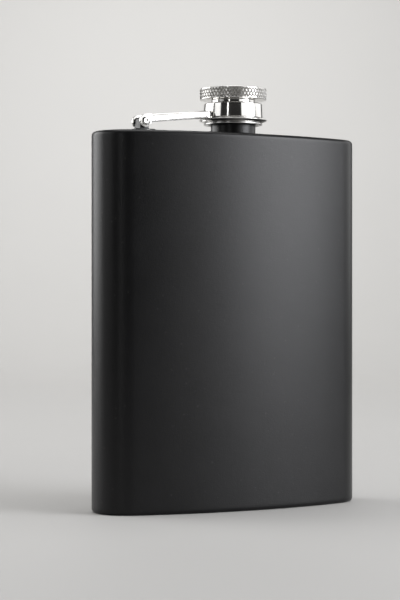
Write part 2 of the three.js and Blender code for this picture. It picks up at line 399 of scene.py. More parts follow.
@dataclass(frozen=True)
class BareSteel(Material):
    """Bare stainless steel with the marks of its polishing or turning."""

    marks: Marks = Marks.ROUND_THE_CAP
    lines: float = 9000.0
    depth: float = 0.0000012
    valley: tuple[float, float] | None = None
    # colour of the painted shade and grime that darken the knurl's valleys
    shade_and_grime_colour: Colour = (0.46, 0.43, 0.4, 1.0)

    def _lie(self, wiring: Wiring, position: Socket) -> Socket:
        """Turns the place on the piece into one that hardly changes along the marks.

        Args:
            wiring: the material's wiring.
            position: the object's own coordinates.

        Returns:
            The position to read marks at.
        """
        if self.marks is Marks.ALONG_THE_ARM:
            place = wiring.add("ShaderNodeMapping", {"Vector": position, "Scale": (0.02, 1.0, 1.0)})
            return place.outputs[0]
        radius, x, y, z = self._from_axis(wiring, position)
        drift = wiring.times(wiring.plus(x, wiring.times(y, 0.6)), 0.02)
        return wiring.combine(radius, z, drift)

    def _shade_and_grime(self, wiring: Wiring, position: Socket) -> Socket:
        """Finds the bottoms of the knurl, which are darkened as painted shade and as real grime.

        Args:
            wiring: the material's wiring.
            position: the object's own coordinates.

        Returns:
            A mask from 0 on the points to 1 in the valleys.
        """
        radius = self._from_axis(wiring, position)[0]
        deep, clear = self.valley
        uneven = wiring.times(wiring.noise(position, 1400.0), (clear - deep) * 0.4)
        return wiring.spread(wiring.plus(radius, uneven), deep, clear, 1.0, 0.0)

    @staticmethod
    def _from_axis(wiring: Wiring, position: Socket) -> tuple[Socket, ...]:
        """Measures a place from the cap's axis.

        Args:
            wiring: the material's wiring.
            position: the object's own coordinates.

        Returns:
            Its radius, and its x, y and z from the axis's foot.
        """
        centred = wiring.add("ShaderNodeMapping", {"Vector": position, "Location": tuple(-CAP_AXIS)})
        x, y, z = wiring.split(centred.outputs[0])
        squares = wiring.plus(wiring.math("POWER", x, 2.0), wiring.math("POWER", y, 2.0))
        return wiring.math("SQRT", squares), x, y, z

    def build(self, effects: Effects) -> bpy.types.Material:
        """Builds the steel.

        Args:
            effects: the shared shader groups.

        Returns:
            The material.
        """
        made, wiring, shader, position = self.start()
        lie = self._lie(wiring, position)
        marks = self.group(wiring, effects.marks, Position=lie, Lines=self.lines)
        mottle = self.group(wiring, effects.mottle, Position=position, Broad=160.0)
        hair = self.group(wiring, effects.hairlines, Position=position, Scale=210.0)
        tone = wiring.mix(mottle.outputs["Tone"], self.colour, shade(self.colour, 0.9))
        low, high = self.roughness
        rough = wiring.spread(marks.outputs["Streak"], 0.1, 0.5, low, high)
        rough = wiring.plus(rough, wiring.times(hair.outputs["Mask"], 0.12))
        # painted shade and grime: the knurl's valleys are darkened and made rougher
        if self.valley:
            shade_and_grime_mask = self._shade_and_grime(wiring, position)
            tone = wiring.mix(shade_and_grime_mask, tone, self.shade_and_grime_colour)
            rough = wiring.plus(rough, wiring.times(shade_and_grime_mask, 0.4))
        wiring.feed(tone, shader.inputs["Base Color"])
        wiring.feed(rough, shader.inputs["Roughness"])
        scratched = wiring.times(hair.outputs["Mask"], 0.8)
        height = wiring.math("SUBTRACT", marks.outputs["Height"], scratched)
        wiring.bump(shader, height, self.depth)
        shader.inputs["Metallic"].default_value = 1.0
        return made


@dataclass(frozen=True)
class Silicone(Material):
    """Pale, soft silicone of the seal."""

    depth: float = 0.00001
    glow: float = 0.15
    glow_reach: float = 0.0006

    def build(self, effects: Effects) -> bpy.types.Material:
        """Builds the silicone.

        Args:
            effects: the shared shader groups.

        Returns:
            The material.
        """
        made, wiring, shader, position = self.start()
        mottle = self.group(wiring, effects.mottle, Position=position, Broad=300.0, Fine=4000.0)
        tone = wiring.mix(mottle.outputs["Tone"], self.colour, shade(self.colour, 0.82))
        wiring.feed(tone, shader.inputs["Base Color"])
        rough = wiring.spread(mottle.outputs["Fine"], 0.0, 1.0, *self.roughness)
        wiring.feed(rough, shader.inputs["Roughness"])
        wiring.bump(shader, mottle.outputs["Fine"], self.depth)
        shader.inputs["Subsurface Weight"].default_value = self.glow
        shader.inputs["Subsurface Scale"].default_value = self.glow_reach
        return made


@dataclass(frozen=True)
class Finish:
    """A built material and the slot it is listed under."""

    slot: Slot
    material: bpy.types.Material


class Finishes:
    """The flask's finishes, built once and handed to each piece."""

    def __init__(self) -> None:
        """Builds every material."""
        effects = Effects()
        steel = (0.7, 0.69, 0.67, 1.0)
        coat, coat_rough = (0.0022, 0.0022, 0.0025, 1.0), (0.27, 0.37)
        self.coat = PowderCoat("powder_coat", Slot.BLACK_COAT, coat, coat_rough).finish(effects)
        polish = Slot.POLISHED_STEEL
        self.polished = BareSteel("polished_steel", polish, steel, (0.06, 0.17)).finish(effects)
        # radii of the knurl's valleys, which get painted shade and grime
        valley = (KNOB_RADIUS - 0.31 * MM, KNOB_RADIUS - 0.16 * MM)
        self.knurled = BareSteel("knurled_steel", polish, steel, (0.22, 0.36), valley=valley).finish(effects)
        self.arm = BareSteel(
            "polished_strip", polish, steel, (0.1, 0.24), Marks.ALONG_THE_ARM, 6000.0
        ).finish(effects)
        self.turned = BareSteel(
            "turned_steel", Slot.TURNED_STEEL, (0.6, 0.59, 0.58, 1.0), (0.18, 0.34), depth=0.000003
        ).finish(effects)
        pale = (0.66, 0.63, 0.56, 1.0)
        self.silicone = Silicone("seal_silicone", Slot.SILICONE, pale, (0.42, 0.6)).finish(effects)


# ---------------------------------------------------------------- shapes


def rounded(corners: list[Triple], steps: int = 6) -> Outline:
    """Rounds the corners of a closed outline.

    Args:
        corners: (across, up, radius) of each corner in order; a radius of 0 keeps it sharp.
        steps: segments in each rounded corner.

    Returns:
        The outline's points.
    """
    points: Outline = []
    for i, (x, z, radius) in enumerate(corners):
        here = Vector((x, z))
        if radius <= 0:
            points.append((x, z))
            continue
        before = (Vector(corners[i - 1][:2]) - here).normalized()
        after = (Vector(corners[(i + 1) % len(corners)][:2]) - here).normalized()
        half = before.angle(after) / 2
        centre = here + (before + after).normalized() * (radius / math.sin(half))
        reach = radius / math.tan(half)
        start = here + before * reach - centre
        end = here + after * reach - centre
        first = math.atan2(start.y, start.x)
        sweep = (math.atan2(end.y, end.x) - first + math.pi) % math.tau - math.pi
        for step in range(steps + 1):
            angle = first + sweep * step / steps
            points.append((centre.x + radius * math.cos(angle), centre.y + radius * math.sin(angle)))
    return points


def in_mm(points: list[tuple[float, ...]]) -> list[tuple[float, ...]]:
    """Turns a list of millimetres into metres."""
    return [tuple(value * MM for value in point) for point in points]


def fan(sweep: float, steps: int) -> list[float]:
    """Evenly spaced angles from nothing to the whole sweep."""
    return [sweep * k / steps for k in range(steps + 1)]


def put(name: str, data: bpy.types.ID) -> Object:
    """Adds an object with this data to the scene."""
    made = bpy.data.objects.new(name, data)
    bpy.context.scene.collection.objects.link(made)
    return made


def above_top(node: str, end: int) -> float:
    """Height of a solid's foot (0) or top (1) above the top plate, in millimetres."""
    return (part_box(node)[end].z - TOP) / MM


class Shape:
    """A mesh that is built up from closed skins."""

    def __init__(self) -> None:
        """Starts with nothing in it."""
        self.bm = bmesh.new()

    def ring(self, points: list[Vector]) -> Ring:
        """Adds a closed ring of points, with no faces yet."""
        return [self.bm.verts.new(point) for point in points]

    def join(self, first: Ring, second: Ring) -> None:
        """Skins the space between two rings, either of which may be a single point."""
        count = max(len(first), len(second))
        for i in range(count):
            j = (i + 1) % count
            near = [first[i % len(first)], first[j % len(first)]]
            far = [second[j % len(second)], second[i % len(second)]]
            corners = list(dict.fromkeys(near + far))
            if len(corners) > 2:
                self.bm.faces.new(corners)

    def loft(self, rings: list[Ring], closed: bool = False) -> None:
        """Skins a run of rings.

        Args:
            rings: the rings in order.
            closed: whether the last also joins the first.
        """
        for i in range(len(rings) - (0 if closed else 1)):
            self.join(rings[i], rings[(i + 1) % len(rings)])

    def solid(self, rings: list[Ring]) -> None:
        """Skins a run of rings and closes its two ends."""
        self.loft(rings)
        for end in (rings[0], rings[-1]):
            self.bm.faces.new(end)

    def turn(self, outline: Outline, centre: Vector, sides: int = 144, tip: Matrix | None = None) -> None:
        """Turns an outline of (radius, height) about an upright axis.

        Args:
            outline: the closed half section; it may start and end on the axis.
            centre: the foot of the axis.
            sides: segments round the axis.
            tip: turns the finished shape about its centre.
        """
        tip = tip or Matrix.Identity(3)
        rings = []
        for radius, height in outline:
            count = sides if radius > 1e-7 else 1
            turns = fan(math.tau, count)[:-1]
            points = [Vector((radius * math.cos(a), radius * math.sin(a), height)) for a in turns]
            rings.append(self.ring([centre + tip @ point for point in points]))
        solid_core = len(rings[0]) == 1
        self.loft(rings, closed=not solid_core)

    def slab(self, outline: Outline, low: float, high: float, stand: Matrix) -> None:
        """Gives a flat outline its thickness.

        Args:
            outline: the closed outline.
            low: where the thickness starts.
            high: where it ends.
            stand: places (across, up, thickness) in the flask's frame.
        """
        rings = [self.ring([stand @ Vector((u, v, w)) for u, v in outline]) for w in (low, high)]
        self.solid(rings)

    def fill(self, outer: Ring, inner: Ring) -> None:
        """Fills the flat space between an outline and the hole in it."""
        loops = [(ring[i - 1], ring[i]) for ring in (outer, inner) for i in range(len(ring))]
        edges = [self.bm.edges.get(pair) or self.bm.edges.new(pair) for pair in loops]
        bmesh.ops.triangle_fill(self.bm, use_beauty=True, use_dissolve=False, edges=edges)

    def take(self, name: str, recalculate: bool = True) -> Object:
        """Ends the building.

        Args:
            name: the object's name.
            recalculate: whether its faces are turned outwards.

        Returns:
            The object.
        """
        if recalculate:
            bmesh.ops.recalc_face_normals(self.bm, faces=self.bm.faces)
        mesh = bpy.data.meshes.new(name)
        self.bm.to_mesh(mesh)
        self.bm.free()
        return put(name, mesh)


def turned(name: str, corners: list[Triple], steps: int = 6) -> Object:
    """Turns a rounded section about the cap's axis.

    Args:
        name: the piece's name.
        corners: (radius, height, rounding) in millimetres.
        steps: segments in each rounding.

    Returns:
        The piece.
    """
    shape = Shape()
    shape.turn(rounded(in_mm(corners), steps), CAP_AXIS)
    return shape.take(name)


def bevel(piece: Object, width: float, segments: int = 3, angle: float = 35.0) -> None:
    """Rounds a piece's sharp edges.

    Args:
        piece: the piece.
        width: size of the rounding.
        segments: faces across it.
        angle: edges sharper than this many degrees are rounded.
    """
    modifier = piece.modifiers.new("edges", "BEVEL")
    modifier.width = width
    modifier.segments = segments
    modifier.limit_method = "ANGLE"
    modifier.angle_limit = math.radians(angle)
    modifier.use_clamp_overlap = True


def unite(piece: Object, other: Object, operation: str = "UNION") -> None:
    """Joins another closed shape to a piece, or cuts it away, and drops it."""
    bake(piece)
    bake(other)
    modifier = piece.modifiers.new("with", "BOOLEAN")
    modifier.operation = operation
    modifier.object = other
    modifier.solver = "EXACT"
    bake(piece)
    bpy.data.objects.remove(other)


def bake(piece: Object) -> None:
    """Turns a piece and its modifiers into a plain mesh."""
    if not piece.modifiers:
        return
    seen = piece.evaluated_get(bpy.context.evaluated_depsgraph_get())
    mesh = bpy.data.meshes.new_from_object(seen)
    piece.modifiers.clear()
    piece.data = mesh


def dress(
    piece: Object,
    part: Part,
    finish: Finish,
    nodes: tuple[str, ...],
    smooth: float = SMOOTH_BELOW,
) -> None:
    """Finishes a piece and fixes it to the body it moves with.

    Args:
        piece: the built piece.
        part: the body it rides on.
        finish: its material and slot.
        nodes: the plain solids it stands for.
        smooth: edges blunter than this are shaded smooth.
    """
    bake(piece)
    mesh = piece.data
    mesh.name = piece.name
    mesh.materials.clear()
    mesh.materials.append(finish.material)
    mesh.shade_smooth()
    mesh.set_sharp_from_angle(angle=smooth)
    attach(piece, part.value)
    if nodes:
        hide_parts(*nodes)
    log.info("%s: %d faces, rides on %s", piece.name, len(mesh.polygons), part.value)


# ---------------------------------------------------------------- repeated and winding shapes


class Growth:
    """A Geometry Nodes tree that makes a repeated or winding shape."""

    def __init__(self, name: str, sizes: dict[str, float | int]) -> None:
        """Starts the tree with one named input for each size, and one for the material.

        Args:
            name: the tree's name.
            sizes: names and values of the inputs.
        """
        self.tree = bpy.data.node_groups.new(name, "GeometryNodeTree")
        self.wiring = Wiring(self.tree)
        socket(self.tree, "Geometry", "Geometry")
        self.sizes = {}
        for key, value in sizes.items():
            kind = "Int" if isinstance(value, int) else "Float"
            self.sizes[socket(self.tree, key, kind)] = value
        self.material = socket(self.tree, "Material", "Material")
        socket(self.tree, "Geometry", "Geometry", into=False)
        self.given = self.wiring.add("NodeGroupInput").outputs

    def end(self, shape: Socket) -> None:
        """Makes the shape real and gives it its material."""
        real = self.wiring.add("GeometryNodeRealizeInstances", {0: shape})
        inputs = {"Geometry": real.outputs[0], "Material": self.given["Material"]}
        dressed = self.wiring.add("GeometryNodeSetMaterial", inputs)
        self.wiring.add("NodeGroupOutput", {0: dressed.outputs[0]})

    def grow(self, name: str, finish: Finish) -> Object:
        """Runs the tree.

        Args:
            name: the object's name.
            finish: its material and slot.

        Returns:
            The result as a plain mesh object.
        """
        piece = put(name, bpy.data.meshes.new(name))
        modifier = piece.modifiers.new(name, "NODES")
        modifier.node_group = self.tree
        for identifier, value in self.sizes.items():
            modifier[identifier] = value
        modifier[self.material] = finish.material
        bake(piece)
        return piece


def thread(radius: float, wire: float, pitch: float, turns: float, low: float) -> Growth:
    """A round thread that winds up about the cap's axis and fades out at both ends.

    Args:
        radius: radius of the thread's middle line.
        wire: radius of its round section.
        pitch: rise in one turn.
        turns: how many turns.
        low: height at which it starts, above the top plate.

    Returns:
        The tree that makes it.
    """
    made = Growth(
        "thread", {"Radius": radius, "Wire": wire, "Pitch": pitch, "Turns": turns, "Low": low, "Fade": 0.12}
    )
    wiring, given = made.wiring, made.given
    rise = wiring.times(given["Pitch"], given["Turns"])
    spiral = {"Resolution": 96, "Rotations": given["Turns"], "Height": rise}
    path = wiring.add("GeometryNodeCurveSpiral", spiral)
    for key in ("Start Radius", "End Radius"):
        wiring.feed(given["Radius"], path.inputs[key])
    upright = wiring.add("GeometryNodeSetCurveNormal", {"Curve": path.outputs[0]}, mode="Z_UP")
    along = wiring.add("GeometryNodeSplineParameter").outputs["Factor"]
    rising = wiring.math("DIVIDE", along, given["Fade"])
    falling = wiring.math("DIVIDE", wiring.math("SUBTRACT", 1.0, along), given["Fade"])
    fade = wiring.math("MAXIMUM", wiring.math("MINIMUM", rising, falling, clamp=True), 0.05)
    section = wiring.add("GeometryNodeCurvePrimitiveCircle", {"Resolution": 12, "Radius": given["Wire"]})
    wound = wiring.add(
        "GeometryNodeCurveToMesh",
        {"Curve": upright.outputs[0], "Profile Curve": section.outputs[0], "Scale": fade, "Fill Caps": True},
    )
    height = wiring.plus(given["Low"], CAP_AXIS.z)
    place = wiring.combine(CAP_AXIS.x, CAP_AXIS.y, height)
    moved = wiring.add("GeometryNodeTransform", {"Geometry": wound.outputs[0], "Translation": place})
    made.end(moved.outputs[0])
    return made


def knurl(count: int, rows: int, radius: float, low: float, high: float, depth: float) -> Growth:
    """A diamond knurl: blunt four-sided points in staggered rows round the cap's axis.

    The lowest and highest rows are cut off level through their middles.

    Args:
        count: diamonds in one row.
        rows: staggered rows, each half a diamond above the last.
        radius: radius of the diamonds' foot.
        low: height of the lowest row's middle, above the top plate.
        high: height of the highest row's middle.
        depth: how far the diamonds stand out.

    Returns:
        The tree that makes it.
    """
    sizes = {"Count": count, "Rows": rows, "Radius": radius, "Low": low, "High": high, "Depth": depth}
    made = Growth("knurl", {**sizes, "Blunt": 0.44})
    wiring, given = made.wiring, made.given
    index = wiring.add("GeometryNodeInputIndex").outputs[0]
    row = wiring.math("FLOOR", wiring.math("DIVIDE", wiring.plus(index, 0.5), given["Count"]))
    column = wiring.math("SUBTRACT", index, wiring.times(row, given["Count"]))
    stagger = wiring.times(wiring.math("MODULO", row, 2.0), 0.5)
    step = wiring.math("DIVIDE", math.tau, given["Count"])
    angle = wiring.times(wiring.plus(column, stagger), step)
    span = wiring.math("SUBTRACT", given["High"], given["Low"])
    climb = wiring.math("DIVIDE", span, wiring.math("SUBTRACT", given["Rows"], 1.0))
    floor = wiring.plus(given["Low"], CAP_AXIS.z)
    ceiling = wiring.plus(given["High"], CAP_AXIS.z)
    height = wiring.plus(floor, wiring.times(row, climb))
    mid = wiring.plus(given["Radius"], wiring.times(given["Depth"], 0.5))
    x = wiring.math("MULTIPLY_ADD", wiring.math("COSINE", angle), mid, CAP_AXIS.x)
    y = wiring.math("MULTIPLY_ADD", wiring.math("SINE", angle), mid, CAP_AXIS.y)
    total = wiring.times(given["Count"], given["Rows"])
    points = wiring.add("GeometryNodePoints", {"Count": total, "Position": wiring.combine(x, y, height)})
    point = wiring.add(
        "GeometryNodeMeshCone",
        {"Vertices": 4, "Radius Top": given["Blunt"], "Radius Bottom": 1.0, "Depth": given["Depth"]},
    )
    back = wiring.combine(0.0, 0.0, wiring.times(given["Depth"], -0.5))
    centred = wiring.add("GeometryNodeTransform", {"Geometry": point.outputs[0], "Translation": back})
    lean = wiring.combine(0.0, math.pi / 2, angle)
    wide = wiring.times(wiring.times(step, given["Radius"]), 0.5)
    placed = wiring.add(
        "GeometryNodeInstanceOnPoints",
        {
            "Points": points.outputs[0],
            "Instance": centred.outputs[0],
            "Rotation": wiring.add("FunctionNodeEulerToRotation", {0: lean}).outputs[0],
            "Scale": wiring.combine(climb, wide, 1.0),
        },
    )
    real = wiring.add("GeometryNodeRealizeInstances", {0: placed.outputs[0]})
    across, along, up = wiring.split(wiring.add("GeometryNodeInputPosition").outputs[0])
    level = wiring.math("MINIMUM", wiring.math("MAXIMUM", up, floor), ceiling)
    held = wiring.combine(across, along, level)
    cut = wiring.add("GeometryNodeSetPosition", {"Geometry": real.outputs[0], "Position": held})
    made.end(cut.outputs[0])
    return made


# ---------------------------------------------------------------- the body


@dataclass
class Body:
    """The curved can: a wrapped wall between two pressed plates with rounded edges."""

    finishes: Finishes
    thickness: float = 23.4 * MM
    sheet: float = 0.6 * MM
    plate: float = 0.8 * MM
    rim: float = 2.0 * MM
    edge: float = 1.3 * MM
    face_inset: float = 1.8 * MM
    neck_hole: float = 7.32 * MM
    arc_steps: int = 56
    end_steps: int = 44

    def __post_init__(self) -> None:
        """Works out the kidney outline from the box of the wall."""
        low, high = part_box("body_wall")
        self.bow = (high.y - low.y) - self.thickness
        self.end_x = (high.x - low.x) / 2 - self.thickness / 2
        self.arc = (self.end_x**2 + self.bow**2) / (2 * self.bow)
        self.half_angle = math.asin(self.end_x / self.arc)
        self.middle_y = low.y + self.thickness / 2
        self.low_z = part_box("base_plate")[0].z

    def outline(self, inset: float, z: float) -> list[Vector]:
        """The kidney outline at one height.

        Args:
            inset: how far it is drawn in.
            z: its height.

        Returns:
            Its points, anticlockwise from the front's left end.
        """
        centre_y = self.middle_y + self.arc
        half = self.thickness / 2 - inset
        end_y = centre_y - self.arc * math.cos(self.half_angle)
        down = -math.pi / 2
        runs = (
            (0.0, centre_y, self.arc + half, down - self.half_angle, 2 * self.half_angle, self.arc_steps),
            (self.end_x, end_y, half, down + self.half_angle, math.pi, self.end_steps),
            (0.0, centre_y, self.arc - half, down + self.half_angle, -2 * self.half_angle, self.arc_steps),
            (-self.end_x, end_y, half, down - self.half_angle + math.pi, math.pi, self.end_steps),
        )
        points = []
        for x, y, radius, start, sweep, steps in runs:
            for k in range(steps):
                angle = start + sweep * k / steps
                points.append(Vector((x + radius * math.cos(angle), y + radius * math.sin(angle), z)))
        return points

    def build_wall(self) -> None:
        """Builds the wrapped wall."""
        shape = Shape()
        low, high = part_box("body_wall")
        levels = [(0.0, low.z), (0.0, high.z), (self.sheet, high.z), (self.sheet, low.z)]
        shape.loft([shape.ring(self.outline(inset, z)) for inset, z in levels], closed=True)
        dress(shape.take("flask_wall"), Part.FLASK, self.finishes.coat, ("body_wall",))

    def _plate_levels(self) -> list[tuple[float, float]]:
        """The pressed plate's section: (inset, height) from its flat face round its edge to its inside."""
        quarter = fan(math.pi / 2, 8)
        turned = [(self.edge * (1 - math.sin(a)), self.edge * (1 - math.cos(a))) for a in quarter]
        inner = self.edge - self.plate
        inside = [
            (self.plate + inner * (1 - math.cos(a)), self.plate + inner * (1 - math.sin(a)))
            for a in quarter[::2]
        ]
        return [
            (self.face_inset, 0.0),
            *turned,
            (0.0, self.rim),
            (self.plate, self.rim),
            *inside,
            (self.face_inset, self.plate),
        ]

    def build_plate(self, name: str, node: str, top: bool) -> None:
        """Builds the base or the top.

        Args:
            name: the piece's name.
            node: the plain solid it stands for.
            top: whether it is the top, which is upside down and has the neck's hole.
        """
        shape = Shape()
        sign = -1 if top else 1
        face = TOP if top else self.low_z
        levels = self._plate_levels()
        rings = [shape.ring(self.outline(inset, face + sign * height)) for inset, height in levels]
        if top:
            shape.loft(rings)
            holes = []
            for height in (0.0, self.plate):
                turns = fan(math.tau, 72)[:-1]
                points = [Vector((math.cos(a), math.sin(a), 0.0)) * self.neck_hole for a in turns]
                middle = CAP_AXIS + Vector((0, 0, sign * height))
                holes.append(shape.ring([middle + point for point in points]))
            shape.join(*holes)
            shape.fill(rings[0], holes[0])
            shape.fill(rings[-1], holes[1])
        else:
            shape.solid(rings)
        dress(shape.take(name), Part.FLASK, self.finishes.coat, (node,))

    def build(self) -> None:
        """Builds the wall and both plates."""
        self.build_wall()
        self.build_plate("flask_base", "base_plate", top=False)
        self.build_plate("flask_top", "top_plate", top=True)


# ---------------------------------------------------------------- neck and hinge bracket


@dataclass
class Neck:
    """The black neck with its rolled thread and curled lip."""

    finishes: Finishes
    collar: float = 7.3
    root: float = 6.85
    bore: float = 5.9
    flange: float = 9.4
    seat: float = 7.25
    under_plate: float = -0.8
    bead: float = 7.75
    bead_foot: float = -0.05
    wire: float = 0.32
    thread_low: float = 4.9
    pitch: float = 1.5
    turns: float = 1.8

    def build(self) -> None:
        """Builds the neck and winds its thread round it."""
        low = (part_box("neck_tube")[0].z - TOP) / MM
        top = (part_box("neck_tube")[1].z - TOP) / MM
        corners = [
            (self.bore, low, 0.3),
            (self.flange, low, 0.2),
            (self.flange, self.under_plate, 0.0),
            (self.seat, self.under_plate, 0.0),
            (self.seat, self.bead_foot, 0.0),
            (self.bead, self.bead_foot, 0.0),
            (self.collar, 0.4, 0.5),
            (self.collar, 4.2, 0.2),
            (self.root, 4.5, 0.2),
            (self.root, top, 0.42),
            (self.bore, top, 0.42),
        ]
        dress(turned("neck", corners), Part.FLASK, self.finishes.coat, ("neck_tube",))
        middle, low = (self.collar - self.wire) * MM, self.thread_low * MM
        wound = thread(middle, self.wire * MM, self.pitch * MM, self.turns, low)
        winding = wound.grow("neck_thread", self.finishes.coat)
        dress(winding, Part.FLASK, self.finishes.coat, (), SMOOTH_THREAD)


@dataclass
class Hinge:
    """The black bracket on the top plate and the riveted pin through it."""

    finishes: Finishes
    corner: float = 1.2
    plate: float = 0.6
    knuckle: float = 1.5
    knuckle_width: float = 4.2
    flare: float = 0.55
    head: float = 1.35
    head_height: float = 0.5
    pin: float = 0.8
    running: float = 0.06
    sides: int = 48
    punch: float = 0.3
    punch_mouth: float = 0.42
    dome: float = 0.8
    overlap: float = 0.05

    def __post_init__(self) -> None:
        """Finds the pin's middle."""
        low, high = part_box("hinge_pin")
        self.middle = (low + high) / 2
        self.half_length = (high.y - low.y) / 2 / MM

    def build_bracket(self) -> None:
        """Builds the bracket: a small plate with rounded corners and one knuckle."""
        low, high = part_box("hinge_bracket")
        r = self.corner * MM
        corners = [(low.x, low.y, r), (high.x, low.y, r), (high.x, high.y, r), (low.x, high.y, r)]
        foot = Shape()
        foot.slab(rounded(corners, 8), low.z, low.z + self.plate * MM, Matrix.Identity(4))
        plate = foot.take("hinge_bracket_foot")
        bevel(plate, 0.22 * MM)

        x, z = self.middle.x / MM, (self.middle.z - TOP) / MM
        base = self.plate - self.overlap
        k = self.knuckle
        arch = [(x + k * math.cos(a), z + k * math.sin(a)) for a in fan(math.pi, 20)]
        side = rounded(
            [(x - k, base + 0.7, 0.0), (x - k, base + 0.02, self.flare), (x - k - 0.9, base, 0.0)], 5
        )
        foot_end, sunk = k + 0.75, base - 0.3
        outline = arch + side[:-1] + [(x - foot_end, base), (x - foot_end, sunk), (x + foot_end, sunk)]
        outline += [(x + foot_end, base)] + [(2 * x - px, pz) for px, pz in reversed(side[:-1])]
        upright = Shape()
        stand = Matrix(((1, 0, 0, 0), (0, 0, 1, 0), (0, 1, 0, TOP), (0, 0, 0, 1)))
        half = self.knuckle_width / 2 * MM
        upright.slab(in_mm(outline), self.middle.y - half, self.middle.y + half, stand)
        knuckle = upright.take("hinge_knuckle")
        bevel(knuckle, 0.1 * MM)
        unite(plate, knuckle)
        unite(plate, self._bore(), "DIFFERENCE")
        plate.name = "hinge_bracket_black"
        dress(plate, Part.FLASK, self.finishes.coat, ("hinge_bracket",))

    def _bore(self) -> Object:
        """Builds the round core that leaves the knuckle's bore for the pin.

        Returns:
            The core.
        """
        radius, reach = (self.pin + self.running) * MM, self.knuckle_width * MM
        shape = Shape()
        outline = [(0.0, -reach), (radius, -reach), (radius, reach), (0.0, reach)]
        shape.turn(outline, self.middle, sides=self.sides, tip=ALONG_Y)
        return shape.take("hinge_bore")

    def build_pin(self) -> None:
        """Builds the pin with a domed, centre-punched head at each end."""
        end = self.half_length
        inner = end - self.head_height
        half = [
            (0.0, end - self.punch, 0.0),
            (self.punch, end - self.punch, 0.12),
            (self.punch_mouth, end - 0.02, 0.1),
            (self.dome, end, 0.4),
            (self.head, end - 0.2, 0.15),
            (self.head, inner, 0.0),
            (self.pin, inner, 0.0),
        ]
        upper = rounded(half + [(self.pin, 0.0, 0.0), (0.0, 0.0, 0.0)], 5)[:-2]
        lower = [(r, -y) for r, y in reversed(upper)]
        outline = in_mm(upper + lower)
        shape = Shape()
        shape.turn(outline, self.middle, sides=self.sides, tip=ALONG_Y)
        dress(shape.take("hinge_rivet"), Part.ARM, self.finishes.polished, ("hinge_pin",))

    def build(self) -> None:
        """Builds the bracket and the pin."""
        self.build_bracket()
        self.build_pin()


# ---------------------------------------------------------------- the arm


